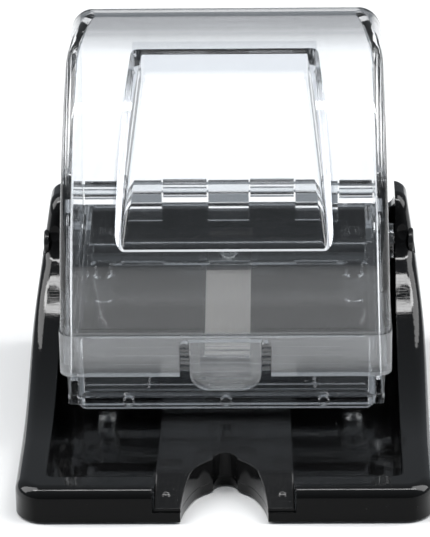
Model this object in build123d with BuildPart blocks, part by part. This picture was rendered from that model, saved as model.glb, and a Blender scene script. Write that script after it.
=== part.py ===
from build123d import *
import os
from math import atan2, cos, degrees, radians, sin, sqrt, tan

# Push-type toothpick dispenser. Millimetres, +Z up, front towards -Y.
# Origin: middle of the footprint, on the surface that it stands on.
# Depths below are measured from the front edge of the base; row() turns
# such a depth into the Y of the part's own frame.

# ---------------------------------------------------------------- dimensions
BASE_HALF_W = 49.2        # half width of the tray at its foot
BASE_DEPTH = 100.0
BASE_CORNER = 7.0
BASE_BOTTOM = 0.6         # gap under the tray, taken up by the feet
FLOOR_TOP = 3.0
RIM_TOP = 9.0
RIM_DEPTH = 7.0
CRADLE_HALF_W = 41.9      # between the inner faces of rails and arms
REAR_WALL_FRONT = 97.0
REAR_WALL_TOP = 38.0
ARM_TOP = 45.4
RAMP_GAP_HALF = 16.9

NOTCH_HALF_W = 10.3
NOTCH_DEPTH = 18.5
GROOVE_R = 2.9

PIVOT = (87.0, 33.5)      # rocking axis: depth, height
PIN_R = 2.0

HINGE = (95.0, 44.3)      # lid axis: depth, height
ROD_R = 1.2
KNUCKLE_R = 2.4

HOPPER_IN_HALF = 34.4     # clear width for 65 mm picks
HOPPER_UP_HALF = 36.4
HOPPER_LOW_HALF = 38.3
FRONT_WALL = (37.0, 39.0)
REAR_WALL = (91.0, 93.0)

LID_WALL = 2.7
LID_HALF = 39.55          # half width at the top of the band
LID_DRAFT = tan(radians(1.25))
LID_BAND = 0.4
LID_FRONT = 33.7
LID_ARC_C = (91.5, 38.85)
LID_ARC_R = 57.8
LID_EDGE_R = 3.2
LID_TOP = 98.2            # where the crown and the rear face would meet

FACET_LOW = (36.0, 54.5)  # push facet: where it runs out of the dome
FACET_HIGH = (69.0, 84.6)

TAB_HALF = 8.6
SLOT_W = 2.4
TAB_ROOT = 30.8

FOOT_X = 43.0
FOOT_PITCH = 80.0
RAMP_SCREW_X = 12.0
RAMP_SCREW_Y = 30.0
SPRING_SCREW_Y = 89.0

GATE_Z = 14.2
GATE_PITCH = 23.5
RIB_HEIGHTS = (17.6, 22.6, 24.9, 27.2, 29.5)

HOPPER_KNUCKLES = [(-27.6, -16.9), (-5.1, 5.1), (16.9, 27.6)]
LID_KNUCKLES = [(-36.4, -28.0), (-16.5, -5.5), (5.5, 16.5), (28.0, 36.4)]


def row(depth):
    return depth - BASE_DEPTH / 2


def yz(*points):
    return [(row(d), z) for d, z in points]


# ------------------------------------------------------------------- notch
def notch_outline():
    """Finger notch in plan: an arch that ends in a half-round groove."""
    c = NOTCH_DEPTH - GROOVE_R
    with BuildSketch() as s:
        with BuildLine():
            Spline((GROOVE_R, row(c)), (5.6, row(13.2)), (8.2, row(8.6)),
                   (NOTCH_HALF_W, row(0)), tangents=[(0.5, -0.6), (0.12, -1)])
            Polyline((NOTCH_HALF_W, row(0)), (NOTCH_HALF_W + 0.4, row(-4)),
                     (-NOTCH_HALF_W - 0.4, row(-4)), (-NOTCH_HALF_W, row(0)))
            Spline((-NOTCH_HALF_W, row(0)), (-8.2, row(8.6)), (-5.6, row(13.2)),
                   (-GROOVE_R, row(c)), tangents=[(0.12, 1), (0.5, 0.6)])
            ThreePointArc((-GROOVE_R, row(c)), (0, row(NOTCH_DEPTH)),
                          (GROOVE_R, row(c)))
        make_face()
    return s.sketch


NOTCH = notch_outline()

# --------------------------------------------------------------- base shell
def rim_chain(edge):
    """True for the outer top edge that runs round the rim, up the rails and
    over the arms."""
    a, b = edge @ 0, edge @ 1
    if min(a.Z, b.Z) < RIM_TOP - 0.01:
        return False
    at_front = max(a.Y, b.Y) < row(BASE_CORNER + 0.1)
    at_side = min(abs(a.X), abs(b.X)) > 40
    if not (at_front or at_side):
        return False
    if min(a.Y, b.Y) > row(95) and min(a.Z, b.Z) < ARM_TOP - 0.5:
        return False
    if abs(a.X + b.X) < 1 and max(a.Z, b.Z) > RIM_TOP + 1:
        return a.Y > row(99)
    level = abs(a.Z - b.Z) < 0.01 and RIM_TOP + 0.1 < a.Z < ARM_TOP - 0.1
    seam = edge.geom_type in (GeomType.CIRCLE, GeomType.LINE) \
        and min(a.Y, b.Y) > row(90) and abs(a.Z - b.Z) > 5
    return not (level or seam)


with BuildPart() as base_shell:
    # side outline: rim, rail sweeping up to the arm, rear
    with BuildSketch(Plane.YZ):
        with BuildLine():
            Polyline(*yz((100, ARM_TOP), (100, BASE_BOTTOM), (0, BASE_BOTTOM),
                         (0, RIM_TOP), (26, RIM_TOP)))
            Spline(*yz((26, RIM_TOP), (42, 10.2), (57, 14.2), (70, 21.2),
                       (80, 29.2), (84.9, 35.0)), tangents=[(1, 0), (0.25, 1)])
            arm = Line(*yz((84.9, 35.0), (86.4, 41.2)))
            TangentArc(arm @ 1, (row(90.8), ARM_TOP), tangent=arm % 1)
            Line(*yz((90.8, ARM_TOP), (100, ARM_TOP)))
        make_face()
    extrude(amount=55, both=True)
    # sides lean in above the rails
    with BuildSketch(Plane.XZ):
        with BuildLine():
            foot = Line((BASE_HALF_W, 0), (BASE_HALF_W, 10))
            bend = TangentArc(foot @ 1, (48.1, 24), tangent=foot % 1)
            lean = Line(bend @ 1, bend @ 1 + (bend % 1) * 30)
            Line(lean @ 1, (0, (lean @ 1).Y))
            Line((BASE_HALF_W, 0), (0, 0))
            mirror(about=Plane.YZ)
        make_face()
    extrude(amount=60, both=True, mode=Mode.INTERSECT)
    # upright corners
    corners = [e for e in base_shell.edges()
               if abs((e @ 0).Z - (e @ 1).Z) > 3 and e.length < 40
               and min(abs((e @ 0).X), abs((e @ 1).X)) > 42
               and abs(e.center().Y) > row(99.9)]
    fillet([e for e in corners if e.center().Y < 0], BASE_CORNER)
    fillet([e for e in corners if e.center().Y > 0], 4)
    fillet([e for e in base_shell.edges() if rim_chain(e)], 3.0)
    # cradle between the rails
    with BuildSketch(Plane.XY.offset(FLOOR_TOP)):
        with Locations((0, row((RIM_DEPTH + REAR_WALL_FRONT) / 2))):
            RectangleRounded(2 * CRADLE_HALF_W, REAR_WALL_FRONT - RIM_DEPTH, 2.0)
    extrude(amount=60, mode=Mode.SUBTRACT)
    # the rear wall is lower than the arms
    with BuildSketch(Plane.XZ.offset(-row(94))):
        with Locations((0, REAR_WALL_TOP + 10)):
            RectangleRounded(2 * CRADLE_HALF_W - 0.02, 20, 2.5)
        with Locations((0, REAR_WALL_TOP + 15)):
            Rectangle(2 * CRADLE_HALF_W - 0.02, 14)
    extrude(amount=-12, mode=Mode.SUBTRACT)
    # gap in the front rim for the ramp
    with BuildSketch(Plane.XY.offset(FLOOR_TOP)):
        with Locations((0, row(3))):
            Rectangle(2 * RAMP_GAP_HALF, 14)
    extrude(amount=20, mode=Mode.SUBTRACT)
    # dished recess on the front of each arm
    for side in (-1, 1):
        with Locations((side * 44.7, row(81.0), 37.7)):
            Sphere(5.0, mode=Mode.SUBTRACT)
    # pedestal for the return spring, on the floor against the rear wall
    with BuildSketch(Plane.XY.offset(FLOOR_TOP - 0.5)):
        with Locations((0, row(89.85))):
            Rectangle(24, 15.3)
    extrude(amount=23.0)
    # finger notch, right through
    with BuildSketch(Plane.XY):
        add(NOTCH)
    extrude(amount=20, mode=Mode.SUBTRACT)
    # pivot bores with a seat for the pin heads
    for side in (-1, 1):
        with BuildSketch(Plane.YZ.offset(side * 41.0)):
            with Locations((row(PIVOT[0]), PIVOT[1])):
                Circle(PIN_R + 0.02)
        extrude(amount=side * 10, mode=Mode.SUBTRACT)
        with BuildSketch(Plane.YZ.offset(side * 45.3)):
            with Locations((row(PIVOT[0]), PIVOT[1])):
                Circle(3.3)
        extrude(amount=side * 6, mode=Mode.SUBTRACT)
    # seats for the feet and for the ramp screws
    with BuildSketch(Plane.XY.offset(BASE_BOTTOM)):
        with GridLocations(2 * FOOT_X, FOOT_PITCH, 2, 2):
            Circle(4.6)
    extrude(amount=1.2, mode=Mode.SUBTRACT)
    with BuildSketch(Plane.XY.offset(BASE_BOTTOM)):
        with Locations(*[(x, row(RAMP_SCREW_Y)) for x in (-RAMP_SCREW_X, RAMP_SCREW_X)]):
            Circle(2.8)
    extrude(amount=1.4, mode=Mode.SUBTRACT)
    with BuildSketch(Plane.XY):
        with Locations(*[(x, row(RAMP_SCREW_Y)) for x in (-RAMP_SCREW_X, RAMP_SCREW_X)]):
            Circle(1.25)
    extrude(amount=FLOOR_TOP + 1, mode=Mode.SUBTRACT)
    # pilot hole for the spring screw
    with BuildSketch(Plane.XY.offset(12)):
        with Locations((0, row(SPRING_SCREW_Y))):
            Circle(1.22)
    extrude(amount=20, mode=Mode.SUBTRACT)

# --------------------------------------------------------------- pick ramp
with BuildPart() as pick_ramp:
    with BuildSketch(Plane.YZ):
        with BuildLine():
            nose = Polyline(*yz((52, FLOOR_TOP), (0.5, FLOOR_TOP), (0.5, 3.9),
                                (9.5, 8.9), (38, 9.8), (52, 10.1)), close=True)
        make_face()
        fillet([v for v in vertices() if abs(v.Y - 8.9) < 0.01], 4)
        # transverse groove that one pick settles in
        with Locations((row(42.2), 10.25)):
            Circle(1.15, mode=Mode.SUBTRACT)
    extrude(amount=20, both=True)
    with BuildSketch(Plane.XY):
        with BuildLine():
            Polyline((-16.5, row(0)), (16.5, row(0)), (15.5, row(52)),
                     (-15.5, row(52)), close=True)
        make_face()
    extrude(amount=20, mode=Mode.INTERSECT)
    with BuildSketch(Plane.XY):
        add(NOTCH)
    extrude(amount=20, mode=Mode.SUBTRACT)
    top_edges = [e for e in pick_ramp.edges()
                 if e.center().Z > 3.8 and min((e @ 0).Z, (e @ 1).Z) > 3.5
                 and (abs(e.center().X) > 15.2 or e.center().Y > row(51.9))]
    fillet(top_edges, 0.5)
    # faint sink marks over the screw bosses
    with Locations((13.6, row(2.3), 8.17), (-13.6, row(2.3), 8.17)):
        Sphere(3.0, mode=Mode.SUBTRACT)
    with BuildSketch(Plane.XY.offset(FLOOR_TOP)):
        with Locations(*[(x, row(RAMP_SCREW_Y)) for x in (-RAMP_SCREW_X, RAMP_SCREW_X)]):
            Circle(1.12)
    extrude(amount=5.2, mode=Mode.SUBTRACT)

# -------------------------------------------------------------- ramp screws
with BuildPart() as ramp_screws:
    for side in (-1, 1):
        with BuildSketch(Plane.XZ.offset(-row(RAMP_SCREW_Y))):
            with BuildLine():
                Polyline(*[(side * RAMP_SCREW_X + x, z) for x, z in
                           ((0, 0.75), (2.4, 0.75), (2.4, 1.35), (1.1, 1.98),
                            (1.1, 7.6), (0, 7.9))], close=True)
            make_face()
        revolve(axis=Axis((side * RAMP_SCREW_X, row(RAMP_SCREW_Y), 0), (0, 0, 1)))
    # cross recess
    with BuildSketch(Plane.XY.offset(0.7)):
        with Locations(*[(x, row(RAMP_SCREW_Y)) for x in (-RAMP_SCREW_X, RAMP_SCREW_X)]):
            Rectangle(2.4, 0.6)
            Rectangle(0.6, 2.4)
    extrude(amount=0.7, mode=Mode.SUBTRACT)


# --------------------------------------------------------------------- feet
def foot(x, depth):
    with BuildPart() as pad:
        with BuildSketch():
            with Locations((x, row(depth))):
                Circle(4.5)
        extrude(amount=BASE_BOTTOM + 1.2)
        chamfer(pad.faces().sort_by(Axis.Z)[0].edges(), 0.3)
    return pad.part


feet = {
    "foot_front_left": foot(-FOOT_X, 50 - FOOT_PITCH / 2),
    "foot_front_right": foot(FOOT_X, 50 - FOOT_PITCH / 2),
    "foot_rear_left": foot(-FOOT_X, 50 + FOOT_PITCH / 2),
    "foot_rear_right": foot(FOOT_X, 50 + FOOT_PITCH / 2),
}


# --------------------------------------------------------------- pivot pins
def pivot_pin(side):
    with BuildPart() as pin:
        with BuildSketch(Plane.YZ.offset(side * 37.2)):
            with Locations((row(PIVOT[0]), PIVOT[1])):
                Circle(PIN_R)
        extrude(amount=side * 8.3)
        with BuildSketch(Plane.YZ.offset(side * 45.3)):
            with Locations((row(PIVOT[0]), PIVOT[1])):
                Circle(3.2)
        extrude(amount=side * 1.3)
        ends = pin.faces().filter_by(Axis.X).sort_by(Axis.X)
        chamfer((ends[0] if side > 0 else ends[-1]).edges(), 0.4)
        fillet((ends[-1] if side > 0 else ends[0]).edges(), 0.5)
    return pin.part


# ------------------------------------------------------------------- hopper
def shoulder(depth, gap=0.0):
    """Height of the sloping parting line between hopper and lid."""
    return 22.0 + (depth - 37.0) * (39.2 - 22.0) / (86.0 - 37.0) - gap


with BuildPart() as hopper:
    # skirt under the lid
    with BuildSketch(Plane.YZ):
        with BuildLine():
            Polyline(*yz((37, 12.8), (37, shoulder(37, 0.3)), (86, shoulder(86, 0.3)),
                         (93, 40.2), (93, 27.5), (70, 17.5), (58, 12.8)), close=True)
        make_face()
    extrude(amount=HOPPER_LOW_HALF, both=True)
    # trough inside the lid
    with BuildSketch(Plane.YZ):
        with BuildLine():
            Polyline(*yz((37, 12.8), (37, 31), (92, 41.2), (93, 41.2), (93, 27.5),
                         (70, 17.5), (58, 12.8)), close=True)
        make_face()
    extrude(amount=HOPPER_UP_HALF, both=True)
    for low, high, radius in ((36, 37.5, 2.2), (37.5, 39, 1.2)):
        fillet([e for e in hopper.edges()
                if abs((e @ 0).Z - (e @ 1).Z) > 8 and e.center().Y < row(37.1)
                and low < abs(e.center().X) < high], radius)
    # pick chamber with its sloping floor, shelf and drop slot
    with BuildSketch(Plane.YZ):
        with BuildLine():
            Polyline(*yz((39, 60), (39, 5), (41.8, 5), (41.8, 14.5), (81.5, 30.5),
                         (91, 31.3), (91, 60)), close=True)
        make_face()
        fillet([v for v in vertices() if abs(v.Y - 14.5) < 0.01], 0.8)
        fillet([v for v in vertices() if abs(v.Y - 31.3) < 0.01], 1.0)
    extrude(amount=HOPPER_IN_HALF, both=True, mode=Mode.SUBTRACT)
    # underside of the floor, open between the skirts
    with BuildSketch(Plane.YZ):
        with BuildLine():
            Polyline(*yz((43.8, 5), (43.8, 13.0), (82, 28.5), (91, 29.3),
                         (94, 29.3), (94, 5)), close=True)
        make_face()
    extrude(amount=HOPPER_LOW_HALF - 2.0, both=True, mode=Mode.SUBTRACT)
    # the skirt is open at the rear above the pedestal
    # moulded horizontal ribs on the front wall
    with BuildSketch(Plane.XZ.offset(-row(37.2))):
        with Locations(*[(0, z) for z in RIB_HEIGHTS]):
            RectangleRounded(67.6, 1.2, 0.5)
    extrude(amount=0.75)
    # catch bar under the latch
    with BuildSketch(Plane.YZ):
        with BuildLine():
            Polyline(*yz((37.4, 19.9), (36.65, 19.9), (36.65, 20.7), (37.4, 21.3)),
                     close=True)
        make_face()
    extrude(amount=6.5, both=True)
    # stakes for the gate bar
    with BuildSketch(Plane.XZ.offset(-row(37.4))):
        with Locations((-GATE_PITCH, GATE_Z), (0, GATE_Z), (GATE_PITCH, GATE_Z)):
            Circle(1.25)
    extrude(amount=2.3)
    # conical posts under the shelf
    for side in (-1, 1):
        with BuildSketch(Plane.XY.offset(19.0)):
            with Locations((side * 31.5, row(80.5))):
                Circle(2.3)
        extrude(amount=9.6, taper=-5)
    # pivot bosses
    for side in (-1, 1):
        with BuildSketch(Plane.YZ.offset(side * (HOPPER_LOW_HALF - 0.5))):
            with Locations((row(PIVOT[0]), PIVOT[1])):
                Circle(4.4)
        extrude(amount=side * 3.7)
        with BuildSketch(Plane.YZ.offset(side * 36.8)):
            with Locations((row(PIVOT[0]), PIVOT[1])):
                Circle(PIN_R + 0.06)
        extrude(amount=side * 6, mode=Mode.SUBTRACT)
    # hinge knuckles on leaves against the rear wall
    for x0, x1 in HOPPER_KNUCKLES:
        with BuildSketch(Plane.YZ.offset(x0)):
            with Locations((row(HINGE[0]), HINGE[1])):
                Circle(KNUCKLE_R)
            with BuildLine():
                Polyline(*yz((92.4, 36.4), (92.4, 44.3), (97.4, 44.3), (97.2, 42.6),
                             (95.2, 40.6), (94.0, 36.4)), close=True)
            make_face()
        extrude(amount=x1 - x0)
    with BuildSketch(Plane.YZ.offset(-40)):
        with Locations((row(HINGE[0]), HINGE[1])):
            Circle(ROD_R + 0.02)
    extrude(amount=80, mode=Mode.SUBTRACT)

# ----------------------------------------------------------------- gate bar
with BuildPart() as gate_bar:
    with BuildSketch(Plane.XZ.offset(-row(36.95))):
        with Locations((0, GATE_Z)):
            RectangleRounded(70.8, 3.6, 1.75)
        with Locations((-GATE_PITCH, GATE_Z), (0, GATE_Z), (GATE_PITCH, GATE_Z)):
            Circle(1.3, mode=Mode.SUBTRACT)
    extrude(amount=1.6)

# ---------------------------------------------------------------------- lid
SLOPE = atan2(FACET_HIGH[1] - FACET_LOW[1], FACET_HIGH[0] - FACET_LOW[0])


def facet_height(depth):
    return FACET_LOW[1] + (depth - FACET_LOW[0]) * tan(SLOPE)


def lid_form(t):
    """Dome of the lid, set in by t all round, before the bottom is cut."""
    with BuildPart() as form:
        with BuildSketch(Plane.YZ):
            with BuildLine():
                r = LID_ARC_R - t
                z = sqrt(r * r - (80 - LID_ARC_C[0]) ** 2)
                top = LID_ARC_C[1] + z
                Polyline(*yz((94 - t, LID_TOP - t), (94 - t, 8), (LID_FRONT + t, 8),
                             (LID_FRONT + t, LID_ARC_C[1])))
                RadiusArc((row(LID_FRONT + t), LID_ARC_C[1]), (row(80), top), r)
                Polyline(*yz((80, top), (94 - t, LID_TOP - t)))
            make_face()
            fillet([v for v in vertices()
                    if v.Y > 90 and v.X > row(94 - t) - 0.01], 9 - t)
        extrude(amount=50, both=True)
        with BuildSketch(Plane.XZ):
            with BuildLine():
                low = LID_HALF - t + 33 * LID_DRAFT
                high = LID_HALF - t - (LID_TOP - 34.2 - t) * LID_DRAFT
                Polyline((-low, 0), (-high, LID_TOP - 1.2 - t), (high, LID_TOP - 1.2 - t),
                         (low, 0), close=True)
            make_face()
            fillet([v for v in vertices() if v.Y > 60], 9 - t)
        extrude(amount=60, both=True, mode=Mode.INTERSECT)
        rims = [e for e in form.edges()
                if min((e @ 0).Z, (e @ 1).Z) > 38
                and min(abs((e @ 0).X), abs((e @ 1).X)) > 30
                and (e @ 0).X * (e @ 1).X > 0]
        upright = [e for e in form.edges()
                   if abs((e @ 0).Z - (e @ 1).Z) > 15
                   and min(abs((e @ 0).X), abs((e @ 1).X)) > 30
                   and min((e @ 0).Z, (e @ 1).Z) < 20]
        fillet(list({hash(e): e for e in rims + upright}.values()), LID_EDGE_R - t)
    return form.part


def facet_form(t):
    """Space above the sunken push facet, grown by t."""
    with BuildPart() as tool:
        with BuildSketch(Plane.YZ):
            drop = t / cos(SLOPE)
            with BuildLine():
                Polyline(*yz((15, facet_height(15) - drop),
                             (FACET_HIGH[0] + t, facet_height(FACET_HIGH[0] + t) - drop),
                             (FACET_HIGH[0] + t, 130), (15, 130)), close=True)
            make_face()
        extrude(amount=45, both=True)
        with BuildSketch(Plane.XY):
            with BuildLine():
                Polyline((-27.5 - 0.35 * t, row(15)), (-19.8 - t, row(FACET_HIGH[0] + t)),
                         (19.8 + t, row(FACET_HIGH[0] + t)),
                         (27.5 + 0.35 * t, row(15)),
                         close=True)
            make_face()
            fillet([v for v in vertices() if v.Y > row(66)], 1.0 + 0.3 * t)
        extrude(amount=140, mode=Mode.INTERSECT)
        floor_edges = [e for e in tool.edges()
                       if e.center().Z < facet_height(e.center().Y + 50) - drop + 0.6
                       and abs(e.center().X) + (e.center().Y > row(66)) * 50 > 18
                       and e.center().Y > row(16)]
        fillet(floor_edges, 1.2 + t * 0.5)
    return tool.part


outer = lid_form(0)
inner = lid_form(LID_WALL)
facet = facet_form(0)
facet_inner = facet_form(LID_WALL)

with BuildPart() as cavity:
    add(inner)
    add(facet_inner, mode=Mode.SUBTRACT)

with BuildPart() as lid:
    add(outer)
    # the lower band stands a little proud
    with BuildSketch(Plane.XY.offset(10)):
        with Locations((0, row(LID_FRONT + 30 - LID_BAND))):
            RectangleRounded(2 * (LID_HALF + LID_BAND), 60, LID_EDGE_R + LID_BAND)
    extrude(amount=22.8)
    add(facet, mode=Mode.SUBTRACT)
    add(cavity.part, mode=Mode.SUBTRACT)
    # bottom edge: level at the front, then along the parting line, and the
    # rear wall ends above the knuckles
    with BuildSketch(Plane.YZ):
        with BuildLine():
            Polyline(*yz((20, 0), (20, 22.0), (37, 22.0), (86, shoulder(86)),
                         (87.2, 41.2), (91.0, 41.9), (91.0, 46.8), (120, 46.8), (120, 0)),
                     close=True)
        make_face()
    extrude(amount=60, both=True, mode=Mode.SUBTRACT)
    # clearance for the latch tab and its relief slots
    with BuildSketch(Plane.XZ.offset(-row(40))):
        with Locations((0, 20)):
            Rectangle(2 * TAB_HALF + 0.4, 2 * (TAB_ROOT + 0.2 - 20))
        with Locations((-TAB_HALF - SLOT_W / 2, 22), (TAB_HALF + SLOT_W / 2, 22)):
            SlotOverall(17.6, SLOT_W, rotation=90)
    extrude(amount=12, mode=Mode.SUBTRACT)
    # knuckles
    for x0, x1 in LID_KNUCKLES:
        with BuildSketch(Plane.YZ.offset(x0)):
            with Locations((row(HINGE[0]), HINGE[1])):
                Circle(KNUCKLE_R)
            with BuildLine():
                Polyline(*yz((92.6, 44.3), (91.9, 46.2), (91.6, 47.6), (94, 47.6),
                             (96.3, 46.3), (97.4, 44.3)), close=True)
            make_face()
        extrude(amount=x1 - x0)
    with BuildSketch(Plane.YZ.offset(-45)):
        with Locations((row(HINGE[0]), HINGE[1])):
            Circle(ROD_R + 0.07)
    extrude(amount=90, mode=Mode.SUBTRACT)

# ---------------------------------------------------------------- latch tab
with BuildPart() as latch_tab:
    with BuildSketch(Plane.XZ.offset(-row(36.1))):
        with Locations((0, (18 + TAB_ROOT) / 2)):
            Rectangle(2 * TAB_HALF, TAB_ROOT - 18)
        fillet([v for v in vertices() if v.Y < 19], 4.6)
    extrude(amount=2.3)
    # finger lip
    with BuildSketch(Plane.YZ):
        with BuildLine():
            Polyline(*yz((34.2, 21.2), (33.2, 21.2), (32.3, 22.4), (33.3, 27.0),
                         (34.2, 27.6)), close=True)
        make_face()
    extrude(amount=6.0, both=True)
    # hook behind the foot of the tab
    with BuildSketch(Plane.YZ):
        with BuildLine():
            Polyline(*yz((36.0, 18.2), (36.45, 18.2), (36.85, 18.7), (36.85, 19.15),
                         (36.0, 19.4)), close=True)
        make_face()
    extrude(amount=4.0, both=True)

# ---------------------------------------------------------------- hinge rod
with BuildPart() as hinge_rod:
    with BuildSketch(Plane.YZ.offset(-36.6)):
        with Locations((row(HINGE[0]), HINGE[1])):
            Circle(ROD_R)
    extrude(amount=73.2)
    chamfer(hinge_rod.faces().filter_by(Axis.X).edges(), 0.25)

# -------------------------------------------------------------- leaf spring
with BuildPart() as leaf_spring:
    with BuildSketch(Plane.YZ):
        with BuildLine():
            Polyline(*yz((94.0, 25.5), (82.0, 25.5), (56.5, 16.6), (54.5, 16.8),
                         (54.4, 17.3), (56.5, 17.15), (81.9, 26.05), (94.0, 26.05)),
                     close=True)
        make_face()
    extrude(amount=5.6, both=True)
    with BuildSketch(Plane.XY.offset(20)):
        with Locations((0, row(SPRING_SCREW_Y))):
            Circle(1.4)
    extrude(amount=10, mode=Mode.SUBTRACT)

with BuildPart() as spring_clamp:
    with BuildSketch(Plane.XY.offset(26.05)):
        with Locations((0, row(88.6))):
            RectangleRounded(15, 9.0, 1.5)
        with Locations((0, row(SPRING_SCREW_Y))):
            Circle(1.4, mode=Mode.SUBTRACT)
    extrude(amount=0.9)

with BuildPart() as spring_screw:
    with BuildSketch(Plane.XZ.offset(-row(SPRING_SCREW_Y))):
        with BuildLine():
            Polyline((0, 14.2), (1.0, 14.6), (1.2, 15.2), (1.2, 26.95), (2.5, 26.95),
                     (2.3, 27.9), (0, 28.15), close=True)
        make_face()
    revolve(axis=Axis((0, row(SPRING_SCREW_Y), 0), (0, 0, 1)))
    with BuildSketch(Plane.XY.offset(27.5)):
        with Locations((0, row(SPRING_SCREW_Y))):
            Rectangle(2.6, 0.6)
            Rectangle(0.6, 2.6)
    extrude(amount=2, mode=Mode.SUBTRACT)

# ------------------------------------------------------------------- export
pieces = {
    "base_shell": base_shell.part,
    "pick_ramp": pick_ramp.part,
    "ramp_screws": ramp_screws.part,
    "pivot_pin_left": pivot_pin(-1),
    "pivot_pin_right": pivot_pin(1),
    "hopper": hopper.part,
    "gate_bar": gate_bar.part,
    "lid": lid.part,
    "latch_tab": latch_tab.part,
    "hinge_rod": hinge_rod.part,
    "leaf_spring": leaf_spring.part,
    "spring_clamp": spring_clamp.part,
    "spring_screw": spring_screw.part,
}
pieces.update(feet)
for name, piece in pieces.items():
    piece.label = name
    export_step(piece, f"parts/{name}.step")
    print(name, len(piece.solids()), piece.is_valid, round(piece.volume, 1))
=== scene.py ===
import math

import bpy
import bmesh
from mathutils import Matrix, Vector


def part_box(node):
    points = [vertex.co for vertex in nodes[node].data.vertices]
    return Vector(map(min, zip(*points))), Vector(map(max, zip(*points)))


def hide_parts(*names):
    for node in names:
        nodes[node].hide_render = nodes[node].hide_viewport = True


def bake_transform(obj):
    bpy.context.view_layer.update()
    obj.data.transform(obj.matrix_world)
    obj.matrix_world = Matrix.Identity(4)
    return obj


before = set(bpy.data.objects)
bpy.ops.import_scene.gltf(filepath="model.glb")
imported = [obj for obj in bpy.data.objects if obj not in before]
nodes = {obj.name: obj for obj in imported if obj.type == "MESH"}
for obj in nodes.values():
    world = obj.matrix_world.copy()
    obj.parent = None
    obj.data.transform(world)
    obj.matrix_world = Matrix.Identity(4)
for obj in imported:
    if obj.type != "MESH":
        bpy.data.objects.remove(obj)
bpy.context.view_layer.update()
scene = bpy.context.scene

# ------------------------------------------------------------------ camera
cam_data = bpy.data.cameras.new("camera")
cam_data.sensor_fit = "VERTICAL"
cam_data.sensor_height = 36.0
cam_data.lens = 3424.0 / 537.0 * 36.0
cam_data.clip_start = 0.01
cam_data.clip_end = 50
camera = bpy.data.objects.new("camera", cam_data)
scene.collection.objects.link(camera)
right = Vector((0.9996893, 0.02023871, -0.01455016)).normalized()
up = Vector((0.00479704, 0.41660811, 0.90907352)).normalized()
back = right.cross(up).normalized()
up = back.cross(right).normalized()
camera.matrix_world = Matrix(((right.x, up.x, back.x, 0.01767646),
                              (right.y, up.y, back.y, -0.75225722),
                              (right.z, up.z, back.z, 0.38749724),
                              (0, 0, 0, 1)))
scene.camera = camera

# ------------------------------------------------------------ world, lights
world = bpy.data.worlds.new("studio")
scene.world = world
world.use_nodes = True
bg = world.node_tree.nodes["Background"]
bg.inputs["Color"].default_value = (0.86, 0.93, 1.0, 1)
bg.inputs["Strength"].default_value = 0.30


def softbox(name, loc, target, size, watts, color=(1, 1, 1)):
    data = bpy.data.lights.new(name, "AREA")
    data.shape = "RECTANGLE"
    data.size, data.size_y = size
    data.energy = watts
    data.color = color
    o = bpy.data.objects.new(name, data)
    scene.collection.objects.link(o)
    o.location = loc
    d = Vector(target) - Vector(loc)
    o.rotation_euler = d.to_track_quat("-Z", "Y").to_euler()
    return o


softbox("softbox_left", (-0.95, 0.05, 0.95), (0, 0.02, 0), (0.75, 1.4), 13.5)
softbox("softbox_right", (0.95, 0.05, 0.95), (0, 0.02, 0), (0.75, 1.4), 13.5)
softbox("strip_top", (0.0, -0.215, 1.2), (0, 0, 0.02), (1.5, 0.09), 6.5)

scene.view_settings.view_transform = "Standard"
scene.view_settings.look = "None"
scene.cycles.max_bounces = 32
scene.cycles.transmission_bounces = 32
scene.cycles.glossy_bounces = 10
scene.cycles.diffuse_bounces = 4
scene.cycles.transparent_max_bounces = 24
scene.cycles.sample_clamp_indirect = 2.5
scene.cycles.caustics_refractive = True
scene.cycles.caustics_reflective = False
scene.cycles.blur_glossy = 0.6
scene.cycles.use_denoising = True


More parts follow.
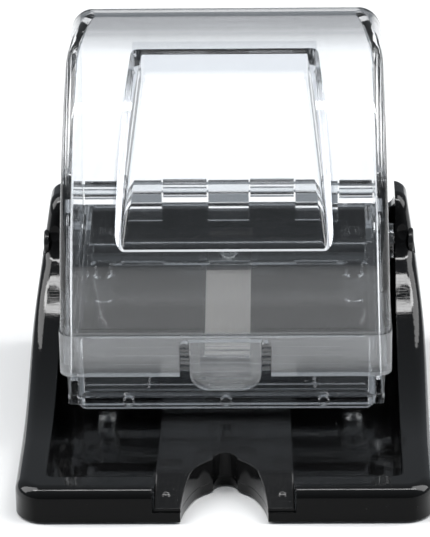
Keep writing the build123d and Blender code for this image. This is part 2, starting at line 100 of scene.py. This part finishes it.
# --------------------------------------------------------------- materials
class Mat:
    """Small helper around a Principled material."""

    def __init__(self, name, **values):
        self.m = bpy.data.materials.new(name)
        self.m.use_nodes = True
        self.t = self.m.node_tree
        self.p = self.t.nodes["Principled BSDF"]
        for key, value in values.items():
            self.p.inputs[key.replace("_", " ")].default_value = value

    def n(self, kind, **props):
        node = self.t.nodes.new(kind)
        for key, value in props.items():
            if isinstance(key, str) and hasattr(node, key):
                setattr(node, key, value)
            else:
                node.inputs[key].default_value = value
        return node

    def link(self, a, b):
        self.t.links.new(a, b)

    def coords(self, scale=(1, 1, 1)):
        c = self.n("ShaderNodeTexCoord")
        m = self.n("ShaderNodeMapping")
        m.inputs["Scale"].default_value = scale
        self.link(c.outputs["Object"], m.inputs["Vector"])
        return m.outputs["Vector"]

    def noise(self, scale, detail=3.0, rough=0.5, vec=None, stretch=None):
        x = self.n("ShaderNodeTexNoise")
        x.inputs["Scale"].default_value = scale
        x.inputs["Detail"].default_value = detail
        x.inputs["Roughness"].default_value = rough
        if vec is None:
            vec = self.coords(stretch or (1, 1, 1))
        self.link(vec, x.inputs["Vector"])
        return x.outputs["Fac"]

    def ramp(self, fac, *stops):
        r = self.n("ShaderNodeValToRGB")
        e = r.color_ramp.elements
        while len(e) < len(stops):
            e.new(0.5)
        for i, (pos, val) in enumerate(stops):
            e[i].position = pos
            e[i].color = (val, val, val, 1) if not isinstance(val, tuple) else val
        self.link(fac, r.inputs["Fac"])
        return r.outputs["Color"]

    def maprange(self, val, a, b, c, d):
        m = self.n("ShaderNodeMapRange")
        self.link(val, m.inputs["Value"])
        for k, v in (("From Min", a), ("From Max", b), ("To Min", c), ("To Max", d)):
            m.inputs[k].default_value = v
        return m.outputs["Result"]

    def math(self, op, a, b=None, c=None):
        m = self.n("ShaderNodeMath")
        m.operation = op
        for i, v in enumerate((a, b, c)):
            if v is None:
                continue
            if isinstance(v, (int, float)):
                m.inputs[i].default_value = v
            else:
                self.link(v, m.inputs[i])
        return m.outputs[0]

    def bump(self, height, strength, distance, normal=None):
        b = self.n("ShaderNodeBump")
        b.inputs["Strength"].default_value = strength
        b.inputs["Distance"].default_value = distance
        self.link(height, b.inputs["Height"])
        if normal is not None:
            self.link(normal, b.inputs["Normal"])
        return b.outputs["Normal"]

    def bevel(self, radius, samples=4):
        b = self.n("ShaderNodeBevel")
        b.samples = samples
        b.inputs["Radius"].default_value = radius
        return b.outputs["Normal"]


def scratches(mat, scale, stretch, keep=0.03):
    """Fine hairlines: stretched noise cut to its narrow crest."""
    f = mat.noise(scale, 2.0, 0.6, stretch=stretch)
    d = mat.math("ABSOLUTE", mat.math("SUBTRACT", f, 0.5))
    return mat.maprange(d, 0.0, keep, 1.0, 0.0)


def specks(mat, scale, size, density=0.5):
    """Sparse dust: small dots in some of a Voronoi pattern's cells."""
    v = mat.n("ShaderNodeTexVoronoi")
    v.inputs["Scale"].default_value = scale
    mat.link(mat.coords(), v.inputs["Vector"])
    dot = mat.maprange(v.outputs["Distance"], size * 0.6, size, 1.0, 0.0)
    sep = mat.n("ShaderNodeSeparateColor")
    mat.link(v.outputs["Color"], sep.inputs["Color"])
    pick = mat.math("GREATER_THAN", sep.outputs[0], 1.0 - density)
    return mat.math("MULTIPLY", dot, pick)


def black_plastic(name, base, rough, dust=0.35, reflection_shade=None):
    m = Mat(name, IOR=1.46)
    # optional painted shade: a specular level set by the normal's direction
    if reflection_shade is not None:
        m.link(reflection_shade(m), m.p.inputs["Specular IOR Level"])
    fleck = specks(m, 420.0, 0.09, dust)
    fleck2 = specks(m, 1100.0, 0.14, dust * 0.6)
    dustm = m.math("MAXIMUM", fleck, fleck2)
    cloud = m.noise(60.0, 4.0)
    mix = m.n("ShaderNodeMix", data_type="RGBA")
    mix.inputs[6].default_value = (base, base, base * 1.03, 1)
    mix.inputs[7].default_value = (0.035, 0.035, 0.033, 1)
    m.link(m.math("MULTIPLY", dustm, m.maprange(cloud, 0.35, 0.7, 0.15, 0.85)), mix.inputs[0])
    m.link(mix.outputs[2], m.p.inputs["Base Color"])
    hair = m.math("MAXIMUM", scratches(m, 90.0, (1, 14, 3)), scratches(m, 70.0, (12, 1, 2)))
    smear = m.noise(22.0, 5.0, 0.6)
    r = m.math("ADD", m.maprange(smear, 0.3, 0.7, rough * 0.75, rough * 1.35),
               m.math("MULTIPLY", hair, 0.06))
    m.link(m.math("ADD", r, m.math("MULTIPLY", dustm, 0.3)), m.p.inputs["Roughness"])
    nrm = m.bevel(0.00035)
    ripple = m.noise(35.0, 1.0)
    nrm = m.bump(ripple, 0.06, 0.0004, nrm)
    nrm = m.bump(hair, 0.05, 0.00002, nrm)
    m.link(nrm, m.p.inputs["Normal"])
    return m.m


def front_reflection_shade(m):
    """Painted shade: the specular level drops on faces turned to the front, so the front face
    of the rim reflects less than the rest.
    """
    g = m.n("ShaderNodeNewGeometry")
    s = m.n("ShaderNodeSeparateXYZ")
    m.link(g.outputs["Normal"], s.inputs["Vector"])
    return m.maprange(s.outputs[1], -0.95, -0.6, 0.12, 0.5)


def tab_milk(m):
    cloud = m.noise(50.0, 2.0, stretch=(1, 1, 2))
    return m.maprange(cloud, 0.3, 0.7, 0.90, 0.84)


def clear_plastic(name, tint, rough, frost=None, milk=None, wavy=0.06, shade=None,
                  edge=None):
    m = Mat(name, IOR=1.53)
    m.p.inputs["Transmission Weight"].default_value = 1.0
    if shade is None:
        m.p.inputs["Base Color"].default_value = (*tint, 1)
    else:
        m.link(shade(m, tint), m.p.inputs["Base Color"])
    hair = m.math("MAXIMUM", scratches(m, 80.0, (1, 10, 2), 0.02),
                  scratches(m, 60.0, (9, 1, 3), 0.02))
    haze = m.noise(18.0, 4.0, 0.6)
    r = m.math("ADD", m.maprange(haze, 0.35, 0.7, rough * 0.5, rough * 1.5),
               m.math("MULTIPLY", hair, 0.05))
    if frost is not None:
        r = m.math("ADD", r, frost(m))
    m.link(r, m.p.inputs["Roughness"])
    if milk is not None:
        m.link(milk(m), m.p.inputs["Transmission Weight"])
    wave = m.noise(28.0, 1.5)
    nrm = m.bump(wave, wavy, 0.0006, m.bevel(edge) if edge else None)
    m.link(nrm, m.p.inputs["Normal"])
    return m.m


def position(m):
    g = m.n("ShaderNodeNewGeometry")
    s = m.n("ShaderNodeSeparateXYZ")
    m.link(g.outputs["Position"], s.inputs["Vector"])
    return s.outputs


def hopper_frost(m):
    x, y, z = position(m)
    return m.maprange(y, 0.0432, 0.0440, 0.0, 0.05)


def band_mask(m):
    """1 in the lower band of the lid, up to its step at 32.8 mm."""
    x, y, z = position(m)
    low = m.maprange(z, 0.03275, 0.03285, 1.0, 0.0)
    return m.math("MULTIPLY", low, m.maprange(y, 0.020, 0.034, 1.0, 0.0))


def lid_painted_shade(m, tint):
    """Painted shade: the tint is darkened along the clear plastic's edges, in the crown at the
    rear, in the upright sides of the push facet and in the side walls, in place of the grey
    refraction there."""
    x, y, z = position(m)
    g = m.n("ShaderNodeNewGeometry")
    s = m.n("ShaderNodeSeparateXYZ")
    m.link(g.outputs["Normal"], s.inputs["Vector"])
    nx = m.math("ABSOLUTE", s.outputs[0])
    ax = m.math("ABSOLUTE", x)
    # streaks in the crown's painted shade
    streak = m.maprange(m.noise(40.0, 3.0, 0.6, stretch=(0.15, 1, 6)), 0.35, 0.65, 0.8, 1.0)
    crown = m.math("MULTIPLY", m.math("MULTIPLY", m.maprange(y, 0.0255, 0.0268, 0.0, 1.0),
                                      m.maprange(z, 0.0820, 0.0860, 0.0, 1.0)), streak)
    # distance of a point outside the facet's side wall, which runs in towards the rear
    off = m.math("SUBTRACT", ax, m.math("SUBTRACT", 0.0275, m.math(
        "MULTIPLY", m.math("ADD", y, 0.035), 0.1426)))
    side = m.math("MULTIPLY", m.maprange(off, -0.00015, 0.0001, 0.0, 1.0),
                  m.maprange(off, 0.0021, 0.0026, 1.0, 0.0))
    side = m.math("MULTIPLY", side, m.maprange(y, 0.0216, 0.0219, 1.0, 0.0))
    side = m.math("MULTIPLY", side, m.maprange(z, 0.052, 0.060, 0.0, 1.0))
    head = m.math("MULTIPLY", m.maprange(y, 0.0185, 0.0189, 0.0, 1.0),
                  m.maprange(y, 0.0216, 0.0220, 1.0, 0.0))
    head = m.math("MULTIPLY", head, m.maprange(ax, 0.0221, 0.0224, 1.0, 0.0))
    head = m.math("MULTIPLY", head, m.maprange(z, 0.0855, 0.0862, 0.0, 1.0))
    side = m.math("MAXIMUM", side, head)
    wall = m.math("MULTIPLY", m.maprange(nx, 0.9, 0.99, 0.0, 1.0),
                  m.maprange(ax, 0.0300, 0.0340, 0.0, 1.0))
    # painted shade colours mixed into the tint: crown, facet sides, side walls
    out = None
    for amount, dark in ((crown, (0.62, 0.625, 0.635)), (side, (0.66, 0.685, 0.72)),
                         (wall, (0.90, 0.925, 0.95))):
        mix = m.n("ShaderNodeMix", data_type="RGBA")
        if out is None:
            mix.inputs[6].default_value = (*tint, 1)
        else:
            m.link(out, mix.inputs[6])
        mix.inputs[7].default_value = (*dark, 1)
        m.link(amount, mix.inputs[0])
        out = mix.outputs[2]
    return out


def band_frost(m):
    return m.math("MULTIPLY", band_mask(m), 0.035)


def band_milk(m):
    cloud = m.noise(30.0, 2.0, stretch=(0.6, 1, 3))
    return m.math("SUBTRACT", 1.0, m.math("MULTIPLY", band_mask(m),
                                          m.maprange(cloud, 0.3, 0.7, 0.09, 0.15)))


def metal(name, base, rough, stretch):
    m = Mat(name, Metallic=1.0)
    grain = m.noise(240.0, 3.0, 0.6, stretch=stretch)
    m.link(m.ramp(grain, (0.2, (base[0] * 0.86, base[1] * 0.86, base[2] * 0.86, 1)),
                  (0.8, (*base, 1))), m.p.inputs["Base Color"])
    m.link(m.maprange(grain, 0.2, 0.8, rough * 0.8, rough * 1.2), m.p.inputs["Roughness"])
    m.link(m.bump(grain, 0.15, 0.00005, m.bevel(0.00012)), m.p.inputs["Normal"])
    return m.m


def strip_finish(name):
    """Milky, faintly brushed strip."""
    m = Mat(name)
    grain = m.noise(180.0, 3.0, 0.6, stretch=(14, 1, 1))
    cloud = m.noise(45.0, 3.0)
    mix = m.math("ADD", m.math("MULTIPLY", grain, 0.5), m.math("MULTIPLY", cloud, 0.5))
    m.link(m.ramp(mix, (0.3, (0.56, 0.52, 0.475, 1)), (0.7, (0.68, 0.635, 0.585, 1))),
           m.p.inputs["Base Color"])
    m.link(m.maprange(grain, 0.2, 0.8, 0.38, 0.52), m.p.inputs["Roughness"])
    m.link(m.bump(grain, 0.1, 0.00004), m.p.inputs["Normal"])
    return m.m


def rubber(name):
    m = Mat(name, Roughness=0.75)
    g = m.noise(900.0, 2.0)
    m.link(m.ramp(g, (0.3, 0.018), (0.7, 0.032)), m.p.inputs["Base Color"])
    m.link(m.bump(g, 0.3, 0.0001), m.p.inputs["Normal"])
    return m.m


mats = {
    "black_abs": black_plastic("black_abs", 0.0028, 0.04, 0.12, front_reflection_shade),
    "black_ramp": black_plastic("black_ramp", 0.0055, 0.11, 0.2, front_reflection_shade),
    "pin_black": black_plastic("pin_black", 0.006, 0.22, 0.2),
    "clear_lid": clear_plastic("clear_lid", (0.965, 0.975, 0.985), 0.012, band_frost, band_milk,
                               shade=lid_painted_shade),
    "clear_tab": clear_plastic("clear_tab", (0.965, 0.975, 0.985), 0.01,
                               milk=tab_milk, edge=0.0004),
    "clear_hopper": clear_plastic("clear_hopper", (0.955, 0.965, 0.975), 0.02, hopper_frost,
                                  edge=0.0003),
    "zinc_screw": metal("zinc_screw", (0.66, 0.66, 0.64), 0.28, (1, 1, 6)),
    "spring_strip": strip_finish("spring_strip"),
    "foot_rubber": rubber("foot_rubber"),
}
node_mat = {
    "base_shell": "black_abs", "pick_ramp": "black_ramp",
    "ramp_screws": "zinc_screw", "spring_screw": "zinc_screw",
    "pivot_pin_left": "pin_black", "pivot_pin_right": "pin_black",
    "hopper": "clear_hopper", "gate_bar": "clear_hopper",
    "hinge_rod": "clear_hopper", "spring_clamp": "clear_hopper",
    "lid": "clear_lid", "latch_tab": "clear_tab", "leaf_spring": "spring_strip",
    "foot_front_left": "foot_rubber", "foot_front_right": "foot_rubber",
    "foot_rear_left": "foot_rubber", "foot_rear_right": "foot_rubber",
}
for name, key in node_mat.items():
    o = nodes[name]
    if not o.material_slots:
        o.data.materials.append(mats[key])
    for slot in o.material_slots:
        slot.material = mats[key]

# --------------------------------------------- leaf spring copy, sliced along its length
lo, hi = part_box("leaf_spring")
strip_mesh = nodes["leaf_spring"].data.copy()
bm = bmesh.new()
bm.from_mesh(strip_mesh)
steps = 30
for i in range(1, steps):
    y = lo[1] + (hi[1] - lo[1]) * i / steps
    bmesh.ops.bisect_plane(bm, geom=bm.verts[:] + bm.edges[:] + bm.faces[:],
                           plane_co=(0, y, 0), plane_no=(0, 1, 0), dist=1e-7)
bm.to_mesh(strip_mesh)
bm.free()
strip = bpy.data.objects.new("spring_strip_bent", strip_mesh)
scene.collection.objects.link(strip)
strip_mesh.materials.clear()
strip_mesh.materials.append(mats["spring_strip"])
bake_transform(strip)
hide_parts("leaf_spring")

# ------------------------------------------------------------------- floor
bm = bmesh.new()
bmesh.ops.create_grid(bm, x_segments=8, y_segments=8, size=1.6)
me = bpy.data.meshes.new("floor")
bm.to_mesh(me)
bm.free()
floor = bpy.data.objects.new("floor", me)
scene.collection.objects.link(floor)
fm = Mat("floor_white", Roughness=0.9)
fg = fm.noise(3.0, 2.0)
fm.link(fm.ramp(fg, (0.0, 0.84), (1.0, 0.87)), fm.p.inputs["Base Color"])
fm.p.inputs["Specular IOR Level"].default_value = 0.1
me.materials.append(fm.m)
